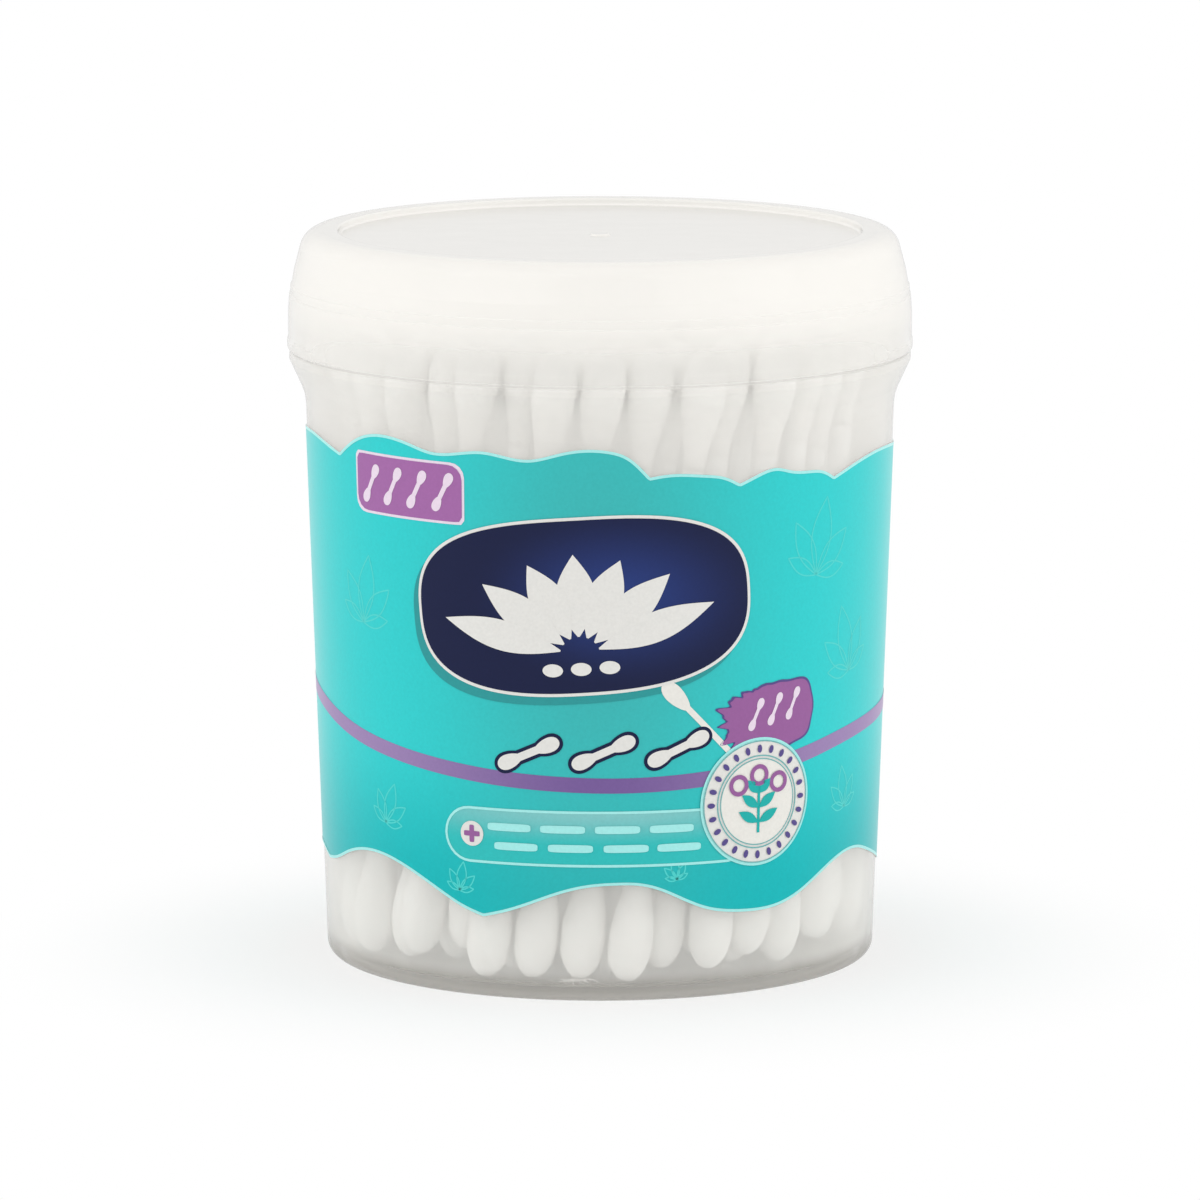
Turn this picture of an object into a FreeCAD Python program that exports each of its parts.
import FreeCAD, Part
import math
import os

import Sketcher

# Cotton swab tub: a moulded drum with a lift-off lid, a thin wrapped label and a bundle of swabs.
# Millimetres, +Z up, origin at the middle of the foot ring, the front of the label towards -Y.

Vector = FreeCAD.Vector
doc = FreeCAD.newDocument("cotton_swab_tub")

SIZES = [
    ("swab_length", 73.5, "a standard swab from tip to tip"),
    ("stick_diameter", 2.4, "the stick between the buds"),
    ("bud_diameter", 5.3, "the cotton at its thickest"),
    ("bud_length", 14.0, "from the tip to where the cotton ends on the stick"),
    ("bud_dome_height", 1.7, "height of the rounded tip"),
    ("barrel_length", 6.0, "from the tip to where the cotton starts to narrow"),
    ("bud_collar", 0.25, "step of the cotton on the stick where it ends"),
    ("swab_gap", 0.15, "room between one bud and the next, and between a bud and the wall"),
    ("fill_share", 0.768, "share of the bundle's circle that the swabs take"),
    ("twist_angle", 20.0, "degrees by which the bundle turns from its feet to its tops"),
    ("spread_share", 0.03, "share by which the bundle is wider at its tops"),
    ("sway_width", 0.5, "how far each top sways from the bundle's twist"),
    ("lift_height", 3.0, "the most that a wedged swab stands off the floor"),
    ("foot_gap", 0.28, "room under a leaning swab's tip"),
    ("foot_recess", 0.6, "the underside stands this far up inside the foot ring"),
    ("foot_width", 2.4, "width of the foot ring"),
    ("floor_thickness", 0.9, "tub floor"),
    ("base_radius", 31.9, "outside of the wall at the foot"),
    ("wall_slope", 0.035, "mm that the wall leans out for each mm of height"),
    ("tub_wall", 0.8, "tub wall"),
    ("base_round", 1.5, "rounding of the foot's outer edge"),
    ("floor_round", 0.9, "rounding where the floor meets the wall inside"),
    ("head_room", 4.5, "from a standing swab's tip to the rim"),
    ("rim_bead_proud", 0.2, "the rim bead stands out from the neck"),
    ("rim_bead_height", 1.4, "height of the rim bead"),
    ("rim_round", 0.25, "rounding of the rim"),
    ("collar_gap", 0.28, "between the lid's lower edge and the stop collar"),
    ("collar_thickness", 0.9, "the stop collar's edge"),
    ("collar_setback", 0.1, "the collar stands in from the lid's skirt"),
    ("collar_round", 0.3, "rounding of the collar's edges"),
    ("flare_height", 4.1, "height over which the wall flares out to the collar"),
    ("flare_round", 6.0, "hollow rounding where the flare leaves the wall"),
    ("seat_gap", 0.1, "between the rim and the ledge inside the lid"),
    ("ledge_width", 0.3, "the ledge inside the lid reaches in past the outside of the neck"),
    ("snap_gap", 0.15, "between the rim bead and the lid around it"),
    ("lid_rise", 5.4, "from the ledge inside the lid to its top"),
    ("lid_depth", 13.72, "from the lid's top to its lower edge"),
    ("lid_wall", 0.8, "lid wall and top"),
    ("skirt_gap", 1.0, "between the neck and the inside of the lid's skirt at its foot"),
    ("lip_proud", 0.12, "the bead along the skirt's lower edge stands out"),
    ("lip_height", 1.1, "height of that bead"),
    ("skirt_height", 4.2, "from the lower edge to where the skirt starts to lean in"),
    ("step_height", 6.32, "from the lower edge to the step"),
    ("step_lean_depth", 0.13, "the skirt leans in this far up to the step"),
    ("step_band", 1.0, "height of the narrow band of the step"),
    ("step_in", 0.14, "each of the two small steps in"),
    ("kink_height", 9.12, "from the lower edge to where the shoulder starts"),
    ("kink_in", 0.7, "the lid is this far in from its skirt at the start of the shoulder"),
    ("shoulder_in", 1.2, "and leans in this much more up to its top"),
    ("brow_round", 2.4, "rounding of the shoulder"),
    ("brow_width", 3.94, "from the shoulder's corner in to the sunk panel of the top"),
    ("panel_sink", 0.82, "depth of the sunk panel"),
    ("panel_round", 0.3, "rounding of the panel's edges"),
    ("nub_radius", 1.2, "the moulding mark at the middle of the panel"),
    ("nub_height", 0.2, "its height"),
    ("label_gap", 0.02, "between the label and the wall"),
    ("label_film", 0.12, "thickness of the label"),
    ("label_foot", 12.0, "middle line of the label's lower wave above the base"),
    ("label_margin", 4.0, "from the label's upper middle line to the flare"),
    ("wave_height", 1.0, "mm for each unit of the waves' heights below"),
    ("label_seam", 1.5, "gap between the label's two ends at the back"),
]

# The label's two waved edges: degrees round from the front, and wave heights above its middle line.
# They are read off the front as far as it can be seen, and run on gently round the back.
UPPER_WAVE = [
    (-180, 0.4), (-150, -0.8), (-120, 0.6), (-95, -0.2), (-76, 0.5), (-60, -0.5), (-56, 1.1),
    (-48, 2.0), (-39, 0.8), (-32, 0.6), (-22, 1.4), (-12, 0.7), (0, 2.2), (4, 1.7), (10, -1.3),
    (15, -1.1), (28, -2.3), (36, -1.0), (50, -2.5), (61, -1.2), (78, -1.0), (100, -2.0),
    (125, -0.5), (150, -1.5), (180, 0.4),
]
LOWER_WAVE = [
    (-180, 0.0), (-160, 1.5), (-140, -0.8), (-118, 1.6), (-95, -0.5), (-76, 1.0), (-62, 2.6),
    (-50, 3.3), (-42, 2.1), (-34, 0.0), (-24, -2.4), (-16, -0.8), (-8, 0.8), (0, 1.8), (8, 1.6),
    (16, 0.4), (25, -1.5), (35, -2.4), (45, -1.3), (55, 1.4), (63, 2.4), (68, 2.2), (76, 0.4),
    (95, -1.5), (115, 1.5), (138, -1.0), (160, 1.2), (180, 0.0),
]
LABEL_SECTORS = 120
# How far below its corner the flare's rounding starts, as a share of its radius.
FLARE_TANGENT = 0.21
# A bud's tip: how wide its flat end is, and where its cheek lies, as shares of radius and dome.
TIP_SHARE = 0.5
CHEEK_SHARE = 0.87
CHEEK_RISE_SHARE = 0.35

# The outermost swabs are a node each. The ones behind them share a few nodes.
SINGLE_SWABS = 48
CORE_GROUPS = 6
# How the swabs come to stand: rounds of pushing apart, the overlap at which they count as clear,
# as a share of their spacing, and the share of them that is wedged high.
SETTLING_ROUNDS = 600
SETTLED_SHARE = 0.001
LIFTED_SHARE = 0.3

sheet = doc.addObject("Spreadsheet::Sheet", "sizes")
for row, (alias, number, note) in enumerate(SIZES, start=1):
    sheet.set("A%d" % row, note)
    sheet.set("B%d" % row, str(number))
    sheet.setAlias("B%d" % row, alias)
doc.recompute()

# Heights and radii that several pieces share, as expressions of the sheet's cells.
FLOOR_TOP = "sizes.foot_recess + sizes.floor_thickness"
RIM = FLOOR_TOP + " + sizes.swab_length + sizes.head_room"
LEDGE = RIM + " + sizes.seat_gap"
LID_TOP = LEDGE + " + sizes.lid_rise"
SKIRT_FOOT = LID_TOP + " - sizes.lid_depth"
COLLAR_TOP = SKIRT_FOOT + " - sizes.collar_gap"
COLLAR_FOOT = COLLAR_TOP + " - sizes.collar_thickness"
FLARE_FOOT = COLLAR_FOOT + " - sizes.flare_height"
BEAD_FOOT = RIM + " - sizes.rim_bead_height"
PANEL_TOP = LID_TOP + " - sizes.panel_sink"
STEP = SKIRT_FOOT + " + sizes.step_height"
KINK = SKIRT_FOOT + " + sizes.kink_height"


def outside(height):
    """The tub wall's outer radius at a height, as an expression."""
    return "sizes.base_radius + sizes.wall_slope * (" + height + ")"


RIM_BEAD_RADIUS = outside(RIM) + " + sizes.rim_bead_proud"
SEAT_INSIDE = RIM_BEAD_RADIUS + " + sizes.snap_gap"
SKIRT_INSIDE = outside(SKIRT_FOOT) + " + sizes.skirt_gap"
SKIRT_RADIUS = SKIRT_INSIDE + " + sizes.lid_wall"
COLLAR_RADIUS = SKIRT_RADIUS + " - sizes.collar_setback"
STEP_RADIUS = SKIRT_RADIUS + " - sizes.step_lean_depth"
KINK_RADIUS = SKIRT_RADIUS + " - sizes.kink_in"
BROW_RADIUS = KINK_RADIUS + " - sizes.shoulder_in"
PANEL_RADIUS = BROW_RADIUS + " - sizes.brow_width"


def measure(expression):
    """The number that an expression of the sheet's cells stands for."""
    return float(sheet.evalExpression(expression))


def turned_piece(label, corners):
    """A body turned about Z from a closed profile whose corners are (radius, height) expressions."""
    body = doc.addObject("PartDesign::Body", label)
    body.Label = label
    sketch = body.newObject("Sketcher::SketchObject", label + "_profile")
    plane = [part for part in body.Origin.OriginFeatures if part.Role == "XZ_Plane"][0]
    sketch.AttachmentSupport = [(plane, "")]
    sketch.MapMode = "FlatFace"
    points = [Vector(measure(radius), measure(height), 0) for radius, height in corners]
    count = len(points)
    for index in range(count):
        sketch.addGeometry(Part.LineSegment(points[index], points[(index + 1) % count]), False)
    for index in range(count):
        sketch.addConstraint(Sketcher.Constraint("Coincident", index, 2, (index + 1) % count, 1))
    for index, (radius, height) in enumerate(corners):
        for kind, axis, expression in (("DistanceX", -2, radius), ("DistanceY", -1, height)):
            if expression == "0":
                sketch.addConstraint(Sketcher.Constraint("PointOnObject", index, 1, axis))
                continue
            place = Sketcher.Constraint(kind, -1, 1, index, 1, measure(expression))
            number = sketch.addConstraint(place)
            name = "%s_%d" % ("radius" if kind == "DistanceX" else "height", index + 1)
            sketch.renameConstraint(number, name)
            sketch.setExpression("Constraints." + name, expression)
    turn = body.newObject("PartDesign::Revolution", label + "_turn")
    turn.Profile = sketch
    turn.ReferenceAxis = (sketch, ["V_Axis"])
    turn.Angle = 360.0
    doc.recompute()
    return body


def rounded(body, name, radius, places):
    """Rounds the body's circular edges that lie at the given (radius, height) expressions."""
    base = body.Tip
    wanted = [(measure(place_radius), measure(height)) for place_radius, height in places]
    edges = []
    for number, edge in enumerate(base.Shape.Edges, start=1):
        if not isinstance(edge.Curve, Part.Circle):
            continue
        circle = edge.Curve
        for place_radius, height in wanted:
            if abs(circle.Radius - place_radius) < 1e-4 and abs(circle.Center.z - height) < 1e-4:
                edges.append("Edge%d" % number)
    fillet = body.newObject("PartDesign::Fillet", name)
    fillet.Base = (base, edges)
    fillet.Radius = measure(radius)
    fillet.setExpression("Radius", radius)
    doc.recompute()
    if len(edges) != len(places):
        raise RuntimeError("%s found %d edges of %d" % (name, len(edges), len(places)))


def make_tub():
    """One moulding: recessed floor, leaning wall, flare with stop collar, neck and rim bead."""
    foot_inside = "sizes.base_radius - sizes.foot_width"
    inside_rim = outside(RIM) + " - sizes.tub_wall"
    inside_floor = outside(FLOOR_TOP) + " - sizes.tub_wall"
    tub = turned_piece("tub", [
        ("0", "sizes.foot_recess"),
        (foot_inside, "sizes.foot_recess"),
        (foot_inside, "0"),
        ("sizes.base_radius", "0"),
        (outside(FLARE_FOOT), FLARE_FOOT),
        (COLLAR_RADIUS, COLLAR_FOOT),
        (COLLAR_RADIUS, COLLAR_TOP),
        (outside(COLLAR_TOP), COLLAR_TOP),
        (outside(BEAD_FOOT), BEAD_FOOT),
        (RIM_BEAD_RADIUS, BEAD_FOOT + " + sizes.rim_bead_proud"),
        (RIM_BEAD_RADIUS, RIM),
        (inside_rim, RIM),
        (inside_floor, FLOOR_TOP),
        ("0", FLOOR_TOP),
    ])
    rounded(tub, "foot_rounding", "sizes.base_round", [("sizes.base_radius", "0")])
    rounded(tub, "floor_rounding", "sizes.floor_round", [(inside_floor, FLOOR_TOP)])
    rounded(tub, "flare_rounding", "sizes.flare_round", [(outside(FLARE_FOOT), FLARE_FOOT)])
    rounded(tub, "collar_rounding", "sizes.collar_round",
            [(COLLAR_RADIUS, COLLAR_FOOT), (COLLAR_RADIUS, COLLAR_TOP)])
    rounded(tub, "rim_rounding", "sizes.rim_round", [(RIM_BEAD_RADIUS, RIM), (inside_rim, RIM)])
    return tub


def make_lid():
    """One moulding: skirt with a lip, small double step, rounded shoulder and a sunk top panel."""
    panel_under = PANEL_TOP + " - sizes.lid_wall"
    top_under = LID_TOP + " - sizes.lid_wall"
    brow_inside = BROW_RADIUS + " - sizes.lid_wall"
    ledge_inside = outside(RIM) + " - sizes.ledge_width"
    lip_top = SKIRT_FOOT + " + sizes.lip_height"
    seat_foot = STEP + " - sizes.step_in"
    lid = turned_piece("lid", [
        (SKIRT_INSIDE, SKIRT_FOOT),
        (SKIRT_RADIUS + " + sizes.lip_proud", SKIRT_FOOT),
        (SKIRT_RADIUS + " + sizes.lip_proud", lip_top),
        (SKIRT_RADIUS, lip_top + " + sizes.lip_proud"),
        (SKIRT_RADIUS, SKIRT_FOOT + " + sizes.skirt_height"),
        (STEP_RADIUS, STEP),
        (STEP_RADIUS + " - sizes.step_in", STEP + " + sizes.step_in"),
        (STEP_RADIUS + " - sizes.step_in", STEP + " + sizes.step_band"),
        (STEP_RADIUS + " - 2 * sizes.step_in", STEP + " + sizes.step_band + sizes.step_in"),
        (KINK_RADIUS, KINK),
        (BROW_RADIUS, LID_TOP),
        (PANEL_RADIUS, LID_TOP),
        (PANEL_RADIUS, PANEL_TOP),
        ("sizes.nub_radius", PANEL_TOP),
        ("sizes.nub_radius - sizes.nub_height", PANEL_TOP + " + sizes.nub_height"),
        ("0", PANEL_TOP + " + sizes.nub_height"),
        ("0", panel_under),
        (PANEL_RADIUS, panel_under),
        (PANEL_RADIUS + " + sizes.lid_wall", top_under),
        (brow_inside, top_under),
        (ledge_inside, KINK),
        (ledge_inside, LEDGE),
        (SEAT_INSIDE, LEDGE),
        (SEAT_INSIDE, seat_foot),
        (SKIRT_INSIDE, seat_foot + " - (" + SKIRT_INSIDE + " - (" + SEAT_INSIDE + "))"),
    ])
    rounded(lid, "shoulder_rounding", "sizes.brow_round", [(BROW_RADIUS, LID_TOP)])
    rounded(lid, "inner_shoulder_rounding", "sizes.brow_round - sizes.lid_wall",
            [(brow_inside, top_under)])
    rounded(lid, "panel_rounding", "sizes.panel_round",
            [(PANEL_RADIUS, LID_TOP), (PANEL_RADIUS, PANEL_TOP)])
    return lid


def waved_edge(wave, line, lowest, highest, out):
    """One edge of the label at a distance out from the wall, as a row of short curves end to end.

    The wave is a smooth curve of height against angle, read every few degrees and carried to the wall.
    """
    heights = Part.BSplineCurve()
    heights.interpolate([Vector(degrees, rise, 0) for degrees, rise in wave])
    half_seam = math.degrees(measure("sizes.label_seam") / 2 / measure("sizes.base_radius"))
    end = wave[-1][0] - half_seam
    unit = measure("sizes.wave_height")
    points = []
    angles = []
    for step in range(LABEL_SECTORS + 1):
        degrees = -end + 2 * end * step / LABEL_SECTORS
        across = heights.intersectCC(Part.Line(Vector(degrees, -1, 0), Vector(degrees, 1, 0)))
        height = min(max(line + unit * across[0].Y, lowest), highest)
        radius = measure(outside(str(height))) + out
        angle = math.radians(degrees)
        points.append(Vector(radius * math.sin(angle), -radius * math.cos(angle), height))
        angles.append(angle)
    curve = Part.BSplineCurve()
    curve.interpolate(Points=points, Parameters=angles)
    return [curve.toShape(low, high) for low, high in zip(angles, angles[1:])]


def make_label():
    """A thin printed film wrapped round the wall, with waved edges and its seam at the back.

    Its four sides are rows of narrow faces, so that film and wall bend at the same places.
    """
    flare_start = FLARE_FOOT + " - sizes.flare_round * %s" % FLARE_TANGENT
    highest = measure(flare_start)
    upper_line = measure(FLARE_FOOT + " - sizes.label_margin")
    lower_line = measure("sizes.label_foot")
    lowest = measure("sizes.base_round")
    near = measure("sizes.label_gap")
    far = measure("sizes.label_gap + sizes.label_film")
    upper_near = waved_edge(UPPER_WAVE, upper_line, lowest, highest, near)
    upper_far = waved_edge(UPPER_WAVE, upper_line, lowest, highest, far)
    lower_near = waved_edge(LOWER_WAVE, lower_line, lowest, highest, near)
    lower_far = waved_edge(LOWER_WAVE, lower_line, lowest, highest, far)
    sides = [(lower_far, upper_far), (lower_near, upper_near), (upper_near, upper_far),
             (lower_near, lower_far)]
    faces = []
    for first, second in sides:
        for low, high in zip(first, second):
            faces.append(Part.makeRuledSurface(low, high))
    for end in (0, -1):
        rows = (lower_near, lower_far, upper_far, upper_near)
        corners = [row[end].Vertexes[end].Point for row in rows]
        faces.append(Part.Face(Part.makePolygon(corners + corners[:1])))
    shell = Part.makeShell(faces)
    shell.sewShape()
    solid = Part.makeSolid(shell)
    if solid.Volume < 0:
        solid.reverse()
    label = doc.addObject("Part::Feature", "label")
    label.Label = "label"
    label.Shape = solid
    return label


def make_swab_pattern():
    """One swab, foot tip at the origin: cotton wound on both ends of a stick, as one solid."""
    bud = "sizes.bud_diameter / 2"
    stick = "sizes.stick_diameter / 2"
    end = [
        ("%s * %s" % (TIP_SHARE, bud), "0"),
        ("%s * %s" % (CHEEK_SHARE, bud), "%s * sizes.bud_dome_height" % CHEEK_RISE_SHARE),
        (bud, "sizes.bud_dome_height"),
        (bud, "sizes.barrel_length"),
        (stick + " + sizes.bud_collar", "sizes.bud_length"),
        (stick, "sizes.bud_length"),
    ]
    other_end = [(radius, "sizes.swab_length - (" + height + ")") for radius, height in end]
    corners = [("0", "0")] + end + other_end[::-1] + [("0", "sizes.swab_length")]
    return turned_piece("swab_pattern", corners)


def settled(places, reach, pitch):
    """Pushes the places apart until none is nearer to another than pitch or further out than reach."""
    places = [list(place) for place in places]
    for _ in range(SETTLING_ROUNDS):
        worst = 0.0
        for first, here in enumerate(places):
            for there in places[:first]:
                step_x = there[0] - here[0]
                step_y = there[1] - here[1]
                apart = math.hypot(step_x, step_y)
                if apart >= pitch:
                    continue
                worst = max(worst, pitch - apart)
                push = (pitch - apart) / 2 / apart
                here[0] -= step_x * push
                here[1] -= step_y * push
                there[0] += step_x * push
                there[1] += step_y * push
        for place in places:
            beyond = math.hypot(place[0], place[1]) / reach
            if beyond > 1:
                place[0] /= beyond
                place[1] /= beyond
        if worst < SETTLED_SHARE * pitch:
            break
    return places


def lay_swabs():
    """Where each swab stands: (foot, top) points, the outermost first.

    The lower buds' bellies start on a sunflower spiral and are pushed clear of each other. The upper
    ones are the same pattern turned and spread a little, each swaying its own way, and pushed clear
    again. Some of the swabs then slide up a little along their own lines.
    """
    bud_radius = measure("sizes.bud_diameter / 2")
    gap = measure("sizes.swab_gap")
    floor_top = measure(FLOOR_TOP)
    reach = measure(outside(FLOOR_TOP + " + sizes.bud_dome_height") + " - sizes.tub_wall")
    reach -= bud_radius + gap
    pitch = 2 * bud_radius + gap
    fill = measure("sizes.fill_share")
    count = int(fill * (reach + pitch / 2) ** 2 / (pitch / 2) ** 2)
    golden_angle = math.pi * (3 - math.sqrt(5))
    feet = []
    for index in range(count):
        radius = reach * math.sqrt((index + 0.5) / count)
        angle = index * golden_angle
        feet.append((radius * math.cos(angle), radius * math.sin(angle)))
    feet = settled(feet, reach, pitch)
    feet.sort(key=lambda place: -math.hypot(place[0], place[1]))

    twist = math.radians(measure("sizes.twist_angle"))
    spread = 1 + measure("sizes.spread_share")
    swing = measure("sizes.sway_width")
    tops = []
    for index, (x, y) in enumerate(feet):
        sway = index * golden_angle
        tops.append((
            spread * (x * math.cos(twist) - y * math.sin(twist)) + swing * math.cos(sway),
            spread * (x * math.sin(twist) + y * math.cos(twist)) + swing * math.sin(sway),
        ))
    tops = settled(tops, reach * spread, pitch)

    length = measure("sizes.swab_length")
    belly = measure("(sizes.bud_dome_height + sizes.barrel_length) / 2")
    belly_height = floor_top + measure("sizes.foot_gap") + belly
    swabs = []
    for index, (foot, top) in enumerate(zip(feet, tops)):
        share = (index * 0.618034) % 1.0
        lift = measure("sizes.lift_height") * max(0.0, share - 1 + LIFTED_SHARE) / LIFTED_SHARE
        along = Vector(top[0] - foot[0], top[1] - foot[1], length - 2 * belly)
        along.normalize()
        low = Vector(foot[0], foot[1], belly_height) + along * (lift - belly)
        swabs.append((low, low + along * length))
    return swabs


def make_swabs(pattern):
    """Copies of the pattern, standing in the tub, in named features."""
    master = pattern.Shape.copy()
    copies = []
    for low, high in lay_swabs():
        swab = master.copy()
        swab.Placement = FreeCAD.Placement(low, FreeCAD.Rotation(Vector(0, 0, 1), high - low))
        copies.append(swab)
    features = []
    for number, swab in enumerate(copies[:SINGLE_SWABS], start=1):
        feature = doc.addObject("Part::Feature", "swab_%02d" % number)
        feature.Label = "swab_%02d" % number
        feature.Shape = swab
        features.append(feature)
    core = copies[SINGLE_SWABS:]
    for group in range(CORE_GROUPS):
        first = group * len(core) // CORE_GROUPS
        last = (group + 1) * len(core) // CORE_GROUPS
        feature = doc.addObject("Part::Feature", "swab_core_%d" % (group + 1))
        feature.Label = "swab_core_%d" % (group + 1)
        feature.Shape = Part.makeCompound(core[first:last])
        features.append(feature)
    return features


def check(pieces):
    """Stops if a feature failed, or a piece is empty or unsound."""
    for thing in doc.Objects:
        if "Invalid" in thing.State or "Error" in thing.State:
            raise RuntimeError("%s failed: %s" % (thing.Label, thing.State))
    for piece in pieces:
        if piece.Shape.isNull() or not piece.Shape.isValid() or not piece.Shape.Solids:
            raise RuntimeError("%s has no sound solid" % piece.Label)


tub = make_tub()
lid = make_lid()
label = make_label()
swab_pattern = make_swab_pattern()
pieces = [tub, lid, label] + make_swabs(swab_pattern)
doc.recompute()
check(pieces)

os.makedirs("parts", exist_ok=True)
for piece in pieces:
    piece.Shape.exportStep("parts/%s.step" % piece.Label)
print("pieces", len(pieces), "solids", sum(len(piece.Shape.Solids) for piece in pieces))
